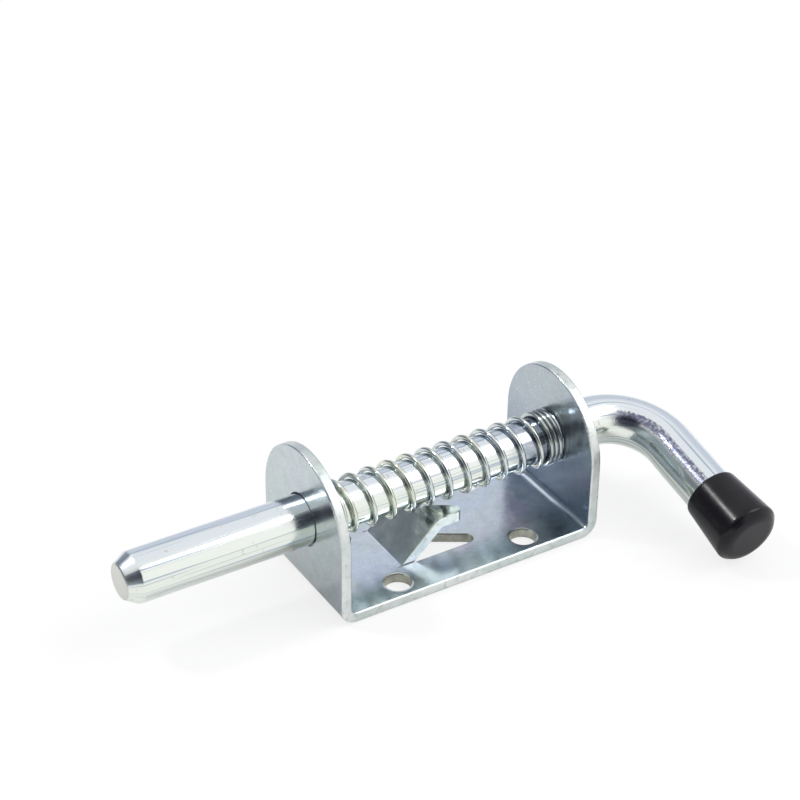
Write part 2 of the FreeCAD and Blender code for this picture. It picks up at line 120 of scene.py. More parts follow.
# %% Grid to piece
def grid_faces(rows, columns):
    """Faces over a grid whose rows close on themselves: a four-sided face between each two rows and
    columns, then a fan over the first row and one over the last, to the two points that follow the
    grid's own."""
    i, j = np.meshgrid(np.arange(rows - 1), np.arange(columns), indexing="ij")
    after = (j + 1) % columns
    here, beyond = i * columns, (i + 1) * columns
    quads = np.stack([here + j, here + after, beyond + after, beyond + j], -1)
    ring = np.arange(columns)
    ahead = (ring + 1) % columns
    last = (rows - 1) * columns
    first_fan = np.stack([np.full(columns, rows * columns), ahead, ring], -1)
    last_fan = np.stack([np.full(columns, rows * columns + 1), last + ring, last + ahead], -1)
    return quads.reshape(-1, 4).tolist() + first_fan.tolist() + last_fan.tolist()


def grid_uv(along, columns):
    """UV of each corner of grid_faces, in its order: the share of the way round, and the metres along."""
    i, j = np.meshgrid(np.arange(len(along) - 1), np.arange(columns), indexing="ij")
    share = (j[..., None] + np.array([0, 1, 1, 0])) / columns
    reach = np.stack([along[i], along[i], along[i + 1], along[i + 1]], -1) * MM
    ring = np.arange(columns)[:, None]
    first_fan = (ring + np.array([0.5, 1, 0])) / columns
    last_fan = (ring + np.array([0.5, 0, 1])) / columns
    corners = [
        np.stack([share, reach], -1),
        np.stack([first_fan, np.full(first_fan.shape, along[0] * MM)], -1),
        np.stack([last_fan, np.full(last_fan.shape, along[-1] * MM)], -1)]
    return np.concatenate([part.reshape(-1, 2) for part in corners])


def piece_from_grid(name, grid, along, body, cad_node):
    """Piece from points grid[i, j]: i runs along the form and j once round it, without repeating the
    first column. The first and last rows are closed by a fan to their middle. UV is (share of the way
    round, metres along)."""
    rows, columns, _ = grid.shape
    points = np.vstack([grid.reshape(-1, 3), grid[0].mean(0), grid[-1].mean(0)]) * MM
    mesh = bpy.data.meshes.new(name)
    mesh.from_pydata(points.tolist(), [], grid_faces(rows, columns))
    uv = grid_uv(along, columns)
    mesh.uv_layers.new(name="surface").data.foreach_set("uv", uv.astype(np.float32).ravel())
    mesh.shade_smooth()
    piece = bpy.data.objects.new(name, mesh)
    bpy.context.scene.collection.objects.link(piece)
    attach(piece, body)
    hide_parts(cad_node)
    print(name, "has", len(mesh.polygons), "faces")
    return piece


# %% [markdown]
# Turned forms are drawn as a profile, a list of (place along the form, radius). It gets soft corners and
# enough points along its runs, and the pieces on the handle hang with it.

# %% Profiles and the handle's droop
POLE = 0.02
ROUND_POINTS = 96
round_angle = np.arange(ROUND_POINTS) / ROUND_POINTS * 2 * math.pi


def softened(profile, radius, steps=5):
    """The profile's points with each inner corner replaced by a curve: a weighted mean of the corner and
    two points at most one radius before and after it, (1-t)^2 a + 2t(1-t) corner + t^2 b."""
    profile = np.asarray(profile, float)
    t = np.linspace(0, 1, steps)[:, None]
    rounded = [profile[:1]]
    for before, corner, after in zip(profile[:-2], profile[1:-1], profile[2:]):
        back, ahead = before - corner, after - corner
        a = corner + back * min(0.5, radius / np.linalg.norm(back))
        b = corner + ahead * min(0.5, radius / np.linalg.norm(ahead))
        rounded.append((1 - t) ** 2 * a + 2 * t * (1 - t) * corner + t ** 2 * b)
    rounded.append(profile[-1:])
    return np.vstack(rounded)


def between(profile, longest):
    """The profile with points added on its long runs, so that no run is longer than the given length."""
    runs = np.linalg.norm(np.diff(profile, axis=0), axis=1)
    counts = np.maximum(1, np.ceil(runs / longest)).astype(int)
    filled = [a + (b - a) * np.arange(n)[:, None] / n for a, b, n in zip(profile[:-1], profile[1:], counts)]
    return np.vstack(filled + [profile[-1:]])


def drooped(points):
    """Points of the turning pieces, drawn with a level handle, turned about the bolt's axis so that the
    handle hangs: y' = y cos - z sin, z' = y sin + z cos, lifted to the axis height."""
    x, y, z = points[..., 0], points[..., 1], points[..., 2]
    cosine, sine = math.cos(DROOP), math.sin(DROOP)
    return np.stack([x, y * cosine - z * sine, y * sine + z * cosine + AXIS_HEIGHT], -1)


print("round forms have", ROUND_POINTS, "points round and end in a ring of", POLE, "mm")

# %% [markdown]
# ## The bolt
# The real bolt is one drawn bar: its tip is chamfered, a waist is turned for the spring, and the end is
# bent square for a handle. A lathe profile carried along the bar's centre line gives all of it as one
# smooth skin, with true small radii at the turned edges that a boolean of cylinders would lack.

# %% Bolt bar
straight_length = BEND_PLACE - TIP_PLACE
bend_length = BEND_RADIUS * math.pi / 2
bar_length = straight_length + bend_length + (LEG_END - BEND_RADIUS)
front, rear = WAIST_FRONT - TIP_PLACE, WAIST_REAR - TIP_PLACE


def bar_centre(s):
    """Centre line of the bar at distance s from its tip: straight along X, then a quarter circle of the
    bend's radius, then straight along -Y. Gives the points and the sideways direction in the bend's
    plane."""
    angle = np.clip((s - straight_length) / BEND_RADIUS, 0, math.pi / 2)
    rest = np.maximum(s - straight_length - bend_length, 0)
    x = TIP_PLACE + np.minimum(s, straight_length) + BEND_RADIUS * np.sin(angle)
    y = -BEND_RADIUS * (1 - np.cos(angle)) - rest
    centre = np.stack([x, y, np.zeros_like(x)], -1)
    side = np.stack([np.sin(angle), np.cos(angle), np.zeros_like(x)], -1)
    return centre, side


bar_corners = [
    (0, POLE), (0, TIP_RADIUS), (TIP_CHAMFER, BAR_RADIUS),
    (front, BAR_RADIUS), (front + WAIST_CONE, WAIST_RADIUS),
    (rear - WAIST_CONE, WAIST_RADIUS), (rear, BAR_RADIUS),
    (bar_length - LEG_CHAMFER, BAR_RADIUS), (bar_length, BAR_RADIUS - LEG_CHAMFER), (bar_length, POLE)]
bar_profile = between(softened(bar_corners, radius=0.45), longest=1.2)
centre, side = bar_centre(bar_profile[:, 0])
upward = np.array([0.0, 0.0, 1.0])
spokes = np.cos(round_angle)[None, :, None] * side[:, None] + np.sin(round_angle)[None, :, None] * upward
bar_grid = centre[:, None] + bar_profile[:, 1, None, None] * spokes
bar = piece_from_grid("bolt_bar", drooped(bar_grid), bar_profile[:, 0], "bolt", "bolt")

# %% [markdown]
# ## The end cap
# A moulded cap is a turned form with a soft edge at its rim and a wider, rounded far end. Its skin is a
# profile spun about the handle's leg; the rim folds inward to grip the bar.

# %% Cap skin
cap_corners = [
    (CAP_RIM + CAP_GRIP, CAP_GRIP_RADIUS), (CAP_RIM + CAP_LIP_IN, CAP_GRIP_RADIUS),
    (CAP_RIM, CAP_LIP_RADIUS), (CAP_RIM + CAP_LIP_OUT, CAP_RIM_RADIUS),
    (CAP_END - CAP_SHOULDER, CAP_WIDEST_RADIUS), (CAP_END - CAP_CROWN, CAP_CROWN_RADIUS),
    (CAP_FACE, CAP_FACE_RADIUS), (CAP_FACE, POLE)]
cap_profile = between(softened(cap_corners, radius=0.55, steps=7), longest=0.8)
cap_grid = np.stack([
    BEND_PLACE + BEND_RADIUS + cap_profile[:, 1, None] * np.cos(round_angle)[None],
    -cap_profile[:, 0, None] * np.ones_like(round_angle)[None],
    cap_profile[:, 1, None] * np.sin(round_angle)[None]], -1)
cap = piece_from_grid("end_cap", drooped(cap_grid), cap_profile[:, 0], "bolt", "handle_cap")

# %% [markdown]
# ## The spring
# Round wire wound on a helix whose pitch closes up at both ends. The centre line's distance along the bolt is
# the running sum of the pitch, and a circle of the wire's radius is carried square to it. In use it shortens,
# flattening towards the pin that pushes it.

# %% Wire on its helix
TURN_POINTS = 60
WIRE_POINTS = 20
END_TAPER = 0.86
total_turns = FRONT_TURNS + REAR_TURNS + 2 * RAMP_TURNS + OPEN_TURNS
closed_length = CLOSED_PITCH * (FRONT_TURNS + REAR_TURNS + RAMP_TURNS)
open_pitch = (SPRING_REAR - SPRING_FRONT - closed_length) / (OPEN_TURNS + RAMP_TURNS)


def helix_line(turns):
    """Centre line of the wire at each turn count: the pitch rises from closed to open over the ramp after
    the front turns and falls again before the rear turns; x is its running sum and (y, z) go round
    right-handed."""
    middle = (turns[1:] + turns[:-1]) / 2
    rising = (middle - FRONT_TURNS) / RAMP_TURNS
    falling = (total_turns - REAR_TURNS - middle) / RAMP_TURNS
    part = np.clip(np.minimum(rising, falling), 0, 1)
    pitch = CLOSED_PITCH + (open_pitch - CLOSED_PITCH) * part
    x = SPRING_FRONT + np.concatenate([[0], np.cumsum(pitch * np.diff(turns))])
    angle = START_ANGLE + 2 * math.pi * turns
    return np.stack([x, COIL_RADIUS * np.cos(angle), COIL_RADIUS * np.sin(angle)], -1), angle


def wire_on(line, angle):
    """Grid of the wire's skin: at each point of the line a circle in the plane of the outward direction
    and of the direction square to it and to the line, a little smaller at the two ends."""
    heading = np.gradient(line, axis=0)
    heading /= np.linalg.norm(heading, axis=1, keepdims=True)
    outward = np.stack([np.zeros_like(angle), np.cos(angle), np.sin(angle)], -1)
    square = np.cross(heading, outward)
    turn = np.arange(WIRE_POINTS)[None, :, None] / WIRE_POINTS * 2 * math.pi
    radius = np.full((len(line), 1, 1), WIRE_RADIUS)
    radius[[0, -1]] *= END_TAPER
    return line[:, None] + radius * (np.cos(turn) * outward[:, None] + np.sin(turn) * square[:, None])


line, angle = helix_line(np.linspace(0, total_turns, int(total_turns * TURN_POINTS) + 1))
wire_grid = wire_on(line, angle) + np.array([0, 0, AXIS_HEIGHT])
wire_along = np.concatenate([[0], np.cumsum(np.linalg.norm(np.diff(line, axis=0), axis=1))])
coil = piece_from_grid("spring_coil", wire_grid, wire_along, "slider", "spring")
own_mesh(coil)

# %% [markdown]
# ## Finishes
# Bright zinc plate is a metal with a faint haze of pale tints, grain under it and small flecks. Every
# finish is built from a few kinds of mask and tint, so their nodes come from short helpers: a value, a
# smooth step between two values, a noise, and a tint laid over a colour where some masks meet.

# %% Node helpers
def node(tree, kind, **values):
    """A shader node of one kind, with its properties and its input values set by name."""
    made = tree.nodes.new(kind)
    for key, value in values.items():
        if hasattr(made, key):
            setattr(made, key, value)
        else:
            made.inputs[key.replace("_", " ")].default_value = value
    return made


def feed(tree, source, target):
    """Gives an input what feeds it: another node's output, a number or a colour."""
    if isinstance(source, (int, float)):
        target.default_value = source
    elif isinstance(source, tuple):
        target.default_value = (*source, 1)
    else:
        tree.links.new(source, target)


def math_node(tree, operation, *sources, **values):
    """Value of one sum on one to three sources, each an output or a number."""
    made = node(tree, "ShaderNodeMath", operation=operation, **values)
    for source, target in zip(sources, made.inputs):
        feed(tree, source, target)
    return made.outputs[0]


def absolute(tree, source):
    """Value without its sign."""
    return math_node(tree, "ABSOLUTE", source)


def product(tree, first, *others):
    """Product of one or more outputs and numbers."""
    for other in others:
        first = math_node(tree, "MULTIPLY", first, other)
    return first


def largest(tree, first, *others):
    """The largest of some outputs."""
    for other in others:
        first = math_node(tree, "MAXIMUM", first, other)
    return first


def step(tree, source, low, high, to_low=0.0, to_high=1.0):
    """Smooth step of a source between two values, in either order, onto two others."""
    made = node(tree, "ShaderNodeMapRange", interpolation_type="SMOOTHSTEP", From_Min=low, From_Max=high,
                To_Min=to_low, To_Max=to_high)
    feed(tree, source, made.inputs["Value"])
    return made.outputs[0]


def window(tree, source, opens, opened, closes, closed):
    """Mask that rises from opens to opened and falls from closes to closed."""
    return product(tree, step(tree, source, opens, opened), step(tree, source, closed, closes))


def painted(tree, under, tint, *masks):
    """Colour with a tint, which is a colour or an output, laid over it by the product of some masks."""
    made = node(tree, "ShaderNodeMix", data_type="RGBA")
    factor, first, second = made.inputs[0], made.inputs[6], made.inputs[7]
    feed(tree, product(tree, *masks), factor)
    feed(tree, under, first)
    feed(tree, tint, second)
    return made.outputs[2]


def shade_ramp(tree, source, dark_at, dark, light_at, light):
    """A colour ramp fed by a value, from one colour and its place to another."""
    ramp = node(tree, "ShaderNodeValToRGB")
    for element, place, colour in zip(ramp.color_ramp.elements, (dark_at, light_at), (dark, light)):
        element.position = place
        element.color = (*colour, 1)
    feed(tree, source, ramp.inputs[0])
    return ramp.outputs[0]


def noise(tree, vector, scale, detail=2.0, roughness=0.5, stretch=(1, 1, 1)):
    """Noise of one scale on a vector, stretched along its axes."""
    mapping = node(tree, "ShaderNodeMapping")
    mapping.inputs["Scale"].default_value = stretch
    feed(tree, vector, mapping.inputs["Vector"])
    made = node(tree, "ShaderNodeTexNoise", Scale=scale, Detail=detail, Roughness=roughness)
    feed(tree, mapping.outputs[0], made.inputs["Vector"])
    return made.outputs[0]


def parts_of(tree, vector):
    """The X, Y and Z outputs of a vector."""
    made = node(tree, "ShaderNodeSeparateXYZ")
    feed(tree, vector, made.inputs[0])
    return made.outputs


def measured(tree, operation, x, y, point=(0, 0, 0)):
    """Length of the vector (x, y), or its distance from a point."""
    joined = node(tree, "ShaderNodeCombineXYZ")
    feed(tree, x, joined.inputs["X"])
    feed(tree, y, joined.inputs["Y"])
    made = node(tree, "ShaderNodeVectorMath", operation=operation)
    feed(tree, joined.outputs[0], made.inputs[0])
    made.inputs[1].default_value = point
    return made.outputs["Value"]


print("node helpers ready")

# %% [markdown]
# The haze of tints, which the sheet, the wire and the pin share, is made once as a node group. Each finish
# of the latch starts from one shader and gets its colour, its roughness and a fine relief.

# %% Haze group and the start of a finish
def plate_haze_group():
    """Tints of zinc plate: wide soft clouds choose between three pale colours, and finer ones mottle them."""
    group = bpy.data.node_groups.new("plate_haze", "ShaderNodeTree")
    group.interface.new_socket("Vector", in_out="INPUT", socket_type="NodeSocketVector")
    for name in ("Cool", "Green", "Rose"):
        group.interface.new_socket(name, in_out="INPUT", socket_type="NodeSocketColor")
    group.interface.new_socket("Color", in_out="OUTPUT", socket_type="NodeSocketColor")
    given = node(group, "NodeGroupInput").outputs
    wide = noise(group, given["Vector"], 70, 3, 0.55)
    mottle = noise(group, given["Vector"], 420, 3, 0.6)
    tint = painted(group, given["Cool"], given["Green"], step(group, wide, 0.40, 0.58))
    tint = painted(group, tint, given["Rose"], step(group, wide, 0.57, 0.72))
    shade = node(group, "ShaderNodeMix", data_type="RGBA", blend_type="MULTIPLY")
    shade.inputs[0].default_value = 1.0
    feed(group, tint, shade.inputs[6])
    feed(group, shade_ramp(group, mottle, 0.3, (0.90, 0.90, 0.91), 0.6, (1.0, 1.0, 1.0)), shade.inputs[7])
    feed(group, shade.outputs[2], node(group, "NodeGroupOutput").inputs["Color"])
    return group


HAZE = plate_haze_group()


def hazed(tree, vector, cool, green, rose):
    """Haze colour of one finish."""
    haze = node(tree, "ShaderNodeGroup", node_tree=HAZE)
    for source, key in ((vector, "Vector"), (cool, "Cool"), (green, "Green"), (rose, "Rose")):
        feed(tree, source, haze.inputs[key])
    return haze.outputs["Color"]


def new_finish(name, metallic=1.0):
    """A finish: its material, node tree, shader and texture coordinates."""
    material = bpy.data.materials.new(name)
    material.use_nodes = True
    tree = material.node_tree
    skin = tree.nodes["Principled BSDF"].inputs
    skin["Metallic"].default_value = metallic
    return material, tree, skin, node(tree, "ShaderNodeTexCoord").outputs


def relief(tree, skin, height, strength, distance=0.1 * MM):
    """Fine relief of a finish."""
    bump = node(tree, "ShaderNodeBump", Strength=strength, Distance=distance)
    feed(tree, height, bump.inputs["Height"])
    feed(tree, bump.outputs[0], skin["Normal"])


print("made group", HAZE.name)

# %% [markdown]
# ### Sheet
# The bracket shows several kinds of face: the rolled top, the ears, the tongue, the pale sheared edges and
# the walls of the cut-outs. Position and normal in the bracket's own frame tell them apart, so each kind is a
# mask from 0 to 1. Teal along the base's sides and a darker rear ear stand in for what the plate mirrors in
# the photo. The ears' darker, greener haze and the tongue's grey are painted reflections too. The cut-outs'
# walls and the underside get painted shade. They are fixed to the bracket and stay as they are in any other
# light.

# %% Masks of the sheet
# Each range holds where a mask begins and where it is full, and then, if not 0 and 1, its two values. A
# wave is how far the blotches shift a mask.
ENDWAYS, SIDEWAYS, UPWARD = (0.75, 0.9), (0.45, 0.65), (0.8, 0.95)
NOT_ENDWAYS, NOT_FLAT, NOT_UPWARD = (0.5, 0.3), (0.6, 0.45), (0.6, 0.4)
TONGUE_ABOVE, TONGUE_WITHIN = (2.6 * MM, 3.2 * MM), (22 * MM, 20 * MM)
WALL_BELOW, WALL_WITHIN = (2.6 * MM, 2.4 * MM), (16.8 * MM, 16.4 * MM)
EAR_BEYOND = (31.6 * MM, 31.9 * MM)
BAND_BEYOND, BAND_WITHIN, BAND_WAVE = (12.5 * MM, 16.5 * MM), (17.2 * MM, 16.5 * MM), 6 * MM
REAR_BEYOND, REAR_BELOW = (20 * MM, 26 * MM, 0.15, 1.0), (27 * MM, 12 * MM, 0.45, 0.9)
WORN_WITHIN, WORN_WAVE = (4.1 * MM, 3.5 * MM), 0.5 * MM


def sheet_masks(tree, place):
    """Masks of the bracket's faces by name, with the measures and noises that more than one step uses."""
    at = parts_of(tree, place["Object"])
    facing = parts_of(tree, place["Normal"])
    mask = SimpleNamespace(along=absolute(tree, at["X"]), across=absolute(tree, at["Y"]), height=at["Z"])
    mask.blotch = noise(tree, place["Object"], 130, 3, 0.6, (0.6, 1, 1))
    mask.torn = noise(tree, place["Object"], 620, 3, 0.65)
    endways = absolute(tree, facing["X"])
    mask.ear = step(tree, endways, *ENDWAYS)
    mask.tongue = product(tree, step(tree, mask.height, *TONGUE_ABOVE),
                          step(tree, mask.along, *TONGUE_WITHIN))
    side_edge = step(tree, absolute(tree, facing["Y"]), *SIDEWAYS)
    ear_edge = product(tree, step(tree, mask.along, *EAR_BEYOND), step(tree, endways, *NOT_ENDWAYS))
    tongue_edge = product(tree, mask.tongue, step(tree, absolute(tree, facing["Z"]), *NOT_FLAT))
    mask.sheared = largest(tree, side_edge, ear_edge, tongue_edge)
    mask.wall = product(tree, step(tree, mask.across, *WALL_WITHIN), step(tree, mask.height, *WALL_BELOW),
                        step(tree, facing["Z"], *NOT_UPWARD))
    wavy = math_node(tree, "MULTIPLY_ADD", mask.blotch, BAND_WAVE, mask.across)
    mask.side_band = product(tree, step(tree, wavy, *BAND_BEYOND), step(tree, mask.across, *BAND_WITHIN),
                             step(tree, facing["Z"], *UPWARD))
    # Painted reflection on both faces of the rear ear, strongest towards the base.
    mask.rear_ear = product(tree, step(tree, at["X"], *REAR_BEYOND), mask.ear,
                            step(tree, mask.height, *REAR_BELOW))
    hole_place = (SCREW_PLACE[0] * MM, SCREW_PLACE[1] * MM, 0)
    mask.from_hole = measured(tree, "DISTANCE", mask.along, mask.across, hole_place)
    ragged = math_node(tree, "MULTIPLY_ADD", mask.blotch, WORN_WAVE, mask.from_hole)
    mask.worn = step(tree, ragged, *WORN_WITHIN)
    return mask


print("sheet masks told apart by height, distance and facing")

# %% [markdown]
# The colours are laid over each other in this order: rolled top with a painted teal reflection along its
# sides, ears and tongue in painted reflection tints, a bright ring round the holes, flecks, sheared edges
# with their torn marks, and last painted shade on the cut-outs' walls and the underside.

# %% Colour of the sheet
ROLLED_TINTS = (0.60, 0.67, 0.78), (0.60, 0.67, 0.72), (0.68, 0.67, 0.78)
EAR_TINTS = (0.54, 0.59, 0.61), (0.52, 0.59, 0.58), (0.60, 0.58, 0.60)
SHEARED_TINTS = (0.72, 0.75, 0.73), (0.60, 0.67, 0.65), (0.80, 0.78, 0.77)
SIDE_TEAL = (0.54, 0.64, 0.66)
REAR_EAR_SLATE = (0.29, 0.34, 0.41)
TONGUE_GREY = (0.59, 0.63, 0.61)
WORN_BRIGHT = (0.86, 0.88, 0.88)
LIGHT_FLECK, DARK_FLECK = (0.86, 0.88, 0.90), (0.36, 0.40, 0.44)
TORN_GREY = (0.40, 0.43, 0.42)
WALL_OLIVE, TORN_OLIVE = (0.54, 0.55, 0.48), (0.42, 0.43, 0.38)


def sheet_colour(tree, vector, mask):
    """Base colour of the sheet, with painted reflections on the base's sides, the ears and the tongue, and
    painted shade on the cut-outs' walls and the underside.
    """
    flecks = noise(tree, vector, 1900, 2, 0.5)
    colour = hazed(tree, vector, *ROLLED_TINTS)
    # Painted reflection: a teal band along the top of the base's sides, where the plate mirrors its
    # surroundings.
    colour = painted(tree, colour, SIDE_TEAL, mask.side_band, 0.55)
    # Painted reflection: the ears' faces take a darker, greener copy of the plate's haze than the top.
    colour = painted(tree, colour, hazed(tree, vector, *EAR_TINTS), mask.ear)
    # Painted reflection: the rear ear in a dark slate, for the dark things that it mirrors.
    colour = painted(tree, colour, REAR_EAR_SLATE, mask.rear_ear)
    # Painted reflection: the tilted tongue in a flat grey in place of the top's haze.
    colour = painted(tree, colour, TONGUE_GREY, mask.tongue)
    # A brighter ring round each screw hole, a little ragged.
    colour = painted(tree, colour, WORN_BRIGHT, mask.worn, 0.9)
    colour = painted(tree, colour, LIGHT_FLECK, step(tree, flecks, 0.63, 0.72, 0.0, 0.5))
    colour = painted(tree, colour, DARK_FLECK, step(tree, flecks, 0.37, 0.30, 0.0, 0.25))
    colour = painted(tree, colour, hazed(tree, vector, *SHEARED_TINTS), mask.sheared)
    colour = painted(tree, colour, TORN_GREY, mask.sheared, step(tree, mask.torn, 0.53, 0.68, 0.0, 0.55))
    # Painted shade: the cut-outs' walls and the underside in a darker olive, with their torn marks darker
    # still.
    colour = painted(tree, colour, WALL_OLIVE, mask.wall)
    return painted(tree, colour, TORN_OLIVE, mask.wall, step(tree, mask.torn, 0.42, 0.62))


print("rolled top between the tints", ROLLED_TINTS)

# %% [markdown]
# Shearing rolls an edge over by a few tenths of a millimetre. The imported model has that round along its
# outline. The finish widens it there, and gives one to the screw holes and the tongue's sides, by bending
# the light near the edge. On the sheared faces it goes by the depth under the sheet's two skins.

# %% Relief of the sheet
EDGE_ROLL = 0.5 * MM
TONGUE_ROLL = 0.7 * MM
EDGE_DROP = 11.0
HALF_SHEET = SHEET / 2 * MM
BASE_WITHIN = (30.6 * MM, 29.8 * MM)
EAR_ABOVE = (4.0 * MM, 4.8 * MM)


def rounded_edge(tree, distance, width):
    """Fall of a rolled-over edge: (1 - distance / width) squared, and nothing further in."""
    near = math_node(tree, "MULTIPLY_ADD", distance, -1 / width, 1.0, use_clamp=True)
    return product(tree, near, near)


def under_skin(tree, source, middle):
    """Depth under the nearer skin of a sheet whose middle lies at a given value of the source."""
    from_middle = absolute(tree, math_node(tree, "SUBTRACT", source, middle))
    return math_node(tree, "SUBTRACT", HALF_SHEET, from_middle)


def sheet_edges(tree, mask):
    """How far each edge of the sheet has rolled over, from 0 to 1: by the distance to the outline on its
    faces, and by the depth under its skins where it is cut."""
    above_axis = math_node(tree, "MAXIMUM", math_node(tree, "SUBTRACT", mask.height, AXIS_HEIGHT * MM), 0.0)
    from_middle = measured(tree, "LENGTH", mask.across, above_axis)
    to_rim = math_node(tree, "SUBTRACT", HALF_WIDTH * MM, from_middle)
    to_hole = math_node(tree, "SUBTRACT", mask.from_hole, SCREW_RADIUS * MM)
    to_side = math_node(tree, "SUBTRACT", TONGUE_HALF_WIDTH * MM, mask.across)
    on_outline = rounded_edge(tree, math_node(tree, "MINIMUM", to_rim, to_hole), EDGE_ROLL)
    on_tongue = product(tree, rounded_edge(tree, to_side, TONGUE_ROLL), mask.tongue)
    on_face = largest(tree, on_outline, on_tongue)
    in_base = rounded_edge(tree, under_skin(tree, mask.height, HALF_SHEET), EDGE_ROLL)
    in_ear = rounded_edge(tree, under_skin(tree, mask.along, EAR_INNER * MM + HALF_SHEET), EDGE_ROLL)
    on_cut = largest(tree, product(tree, step(tree, mask.along, *BASE_WITHIN), in_base),
                     product(tree, step(tree, mask.height, *EAR_ABOVE), in_ear))
    rise = math_node(tree, "SUBTRACT", on_cut, on_face)
    return math_node(tree, "MULTIPLY_ADD", rise, mask.sheared, on_face)


print("edges roll over within", EDGE_ROLL, "m")

# %% [markdown]
# The sheet's finish puts its masks, its colour and its rolled edges together, with a cloudy gloss that is
# duller on sheared metal.

# %% Sheet finish
def sheet_finish():
    """Zinc plated sheet, with its kinds of face told apart."""
    material, tree, skin, place = new_finish("zinc_sheet_finish")
    mask = sheet_masks(tree, place)
    feed(tree, sheet_colour(tree, place["Object"], mask), skin["Base Color"])
    cloud = noise(tree, place["Object"], 240, 4, 0.6)
    pits = noise(tree, place["Object"], 1400, 3, 0.6)
    rough = step(tree, cloud, 0.3, 0.7, 0.17, 0.27)
    feed(tree, math_node(tree, "MULTIPLY_ADD", mask.sheared, 0.14, rough), skin["Roughness"])
    height = math_node(tree, "MULTIPLY_ADD", pits, 0.4, cloud)
    height = math_node(tree, "MULTIPLY_ADD", product(tree, mask.torn, mask.sheared), 3.0, height)
    relief(tree, skin, math_node(tree, "MULTIPLY_ADD", sheet_edges(tree, mask), -EDGE_DROP, height), 0.22)
    return material


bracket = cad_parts["bracket"]
bracket.data.materials.clear()
bracket.data.materials.append(sheet_finish())
print("bracket has", bracket.data.materials[0].name)

# %% [markdown]
# ### Bar
# The bar carries thin drawn lines along its length, olive specks on its plate and an orange-peel skin on the
# bend, where the metal was stretched. Its UV map runs along the bar, so the lines follow the bend. The bluer
# upper and greener near side and the dark stripe on the bend are painted reflections: they stand in for what
# the plate mirrors in the photo. The darker plate under the closed coils is painted shade. They are fixed to
# the bar.

# %% Colour of the bar
# The sides and the stripe, painted reflections, are shares of the way round; the other places are metres from
# the tip.
UPPER_SIDE = (0.02, 0.12, 0.27, 0.34)
NEAR_SIDE = (0.33, 0.41, 0.60, 0.68)
STRIPE = (0.337, 0.350, 0.393, 0.406)
STRIPE_FROM = (124 * MM, 132 * MM)
UNDER_COILS = (96 * MM, 102 * MM, 111.5 * MM, 112.5 * MM)
PLATE_PALE, PLATE_WARM = (0.76, 0.78, 0.81), (0.77, 0.80, 0.76)
NEAR_GREEN, UPPER_BLUE = (0.76, 0.80, 0.735), (0.73, 0.78, 0.825)
LINE_BLUE = (0.36, 0.44, 0.54)
SPECK_OLIVE = (0.55, 0.54, 0.45)
DULL_PLATE = (0.36, 0.40, 0.47)
SAWN_GREY = (0.60, 0.61, 0.57)
STRIPE_DARK = (0.14, 0.15, 0.23)


def bar_colour(tree, place, lines, pebbles, sawn):
    """Base colour of the bar: tints, painted reflections on its upper and near sides, drawn lines, specks,
    painted shade under the closed coils, the sawn tip and a mottled dark painted reflection in a stripe that
    runs from the bend to the cap."""
    turn, reach, _ = parts_of(tree, place["UV"])
    tints = noise(tree, place["UV"], 1.0, 2, 0.5, (5, 9, 1))
    specks = noise(tree, place["Object"], 640, 2, 0.5)
    colour = painted(tree, PLATE_PALE, PLATE_WARM, step(tree, tints, 0.40, 0.62))
    # Painted reflections: a greener near side and a bluer upper side of the bar.
    colour = painted(tree, colour, NEAR_GREEN, window(tree, turn, *NEAR_SIDE))
    colour = painted(tree, colour, UPPER_BLUE, window(tree, turn, *UPPER_SIDE))
    colour = painted(tree, colour, LINE_BLUE, step(tree, lines, 0.57, 0.64, 0.0, 0.85))
    colour = painted(tree, colour, SPECK_OLIVE, step(tree, specks, 0.68, 0.73, 0.0, 0.6))
    # Painted shade: darker plate under the closed coils, mottled by the specks' noise.
    colour = painted(tree, colour, DULL_PLATE, window(tree, reach, *UNDER_COILS),
                     step(tree, specks, 0.30, 0.60, 0.55, 0.95))
    colour = painted(tree, colour, SAWN_GREY, sawn)
    # Painted reflection: a mottled dark stripe from the bend to the cap, broken up by the peel's noise.
    stripe = window(tree, math_node(tree, "MULTIPLY_ADD", pebbles, 0.05, turn), *STRIPE)
    return painted(tree, colour, STRIPE_DARK, step(tree, reach, *STRIPE_FROM), stripe,
                   step(tree, pebbles, 0.34, 0.60, 0.55, 1.0))


print("dark stripe starts", STRIPE_FROM[0], "m from the tip")

# %% [markdown]
# The bar's finish adds the lines and the peel as relief, and a duller gloss on the turned chamfer and on
# the sawn end.

# %% Bar finish
TURNED_WITHIN = (3.6 * MM, 3.0 * MM)
SAWN_WITHIN = (0.6 * MM, 0.2 * MM)
BENT = (120 * MM, 126 * MM, 146 * MM, 156 * MM)


def bar_finish():
    """Bright zinc plate on drawn bar."""
    material, tree, skin, place = new_finish("zinc_bar_finish")
    reach = parts_of(tree, place["UV"])["Y"]
    lines = noise(tree, place["UV"], 1.0, 1, 0.5, (56, 16, 1))
    grain = noise(tree, place["UV"], 1.0, 4, 0.6, (70, 30, 1))
    pebbles = noise(tree, place["Object"], 1500, 3, 0.65)
    turned = step(tree, reach, *TURNED_WITHIN)
    sawn = step(tree, reach, *SAWN_WITHIN)
    feed(tree, bar_colour(tree, place, lines, pebbles, sawn), skin["Base Color"])
    rough = math_node(tree, "MULTIPLY_ADD", turned, 0.08, step(tree, grain, 0.3, 0.7, 0.10, 0.19))
    feed(tree, math_node(tree, "MULTIPLY_ADD", sawn, 0.10, rough), skin["Roughness"])
    height = math_node(tree, "MULTIPLY_ADD", lines, 0.5, product(tree, grain, 0.5))
    peel = product(tree, pebbles, window(tree, reach, *BENT))
    relief(tree, skin, math_node(tree, "MULTIPLY_ADD", peel, 2.0, height), 0.16)
    return material


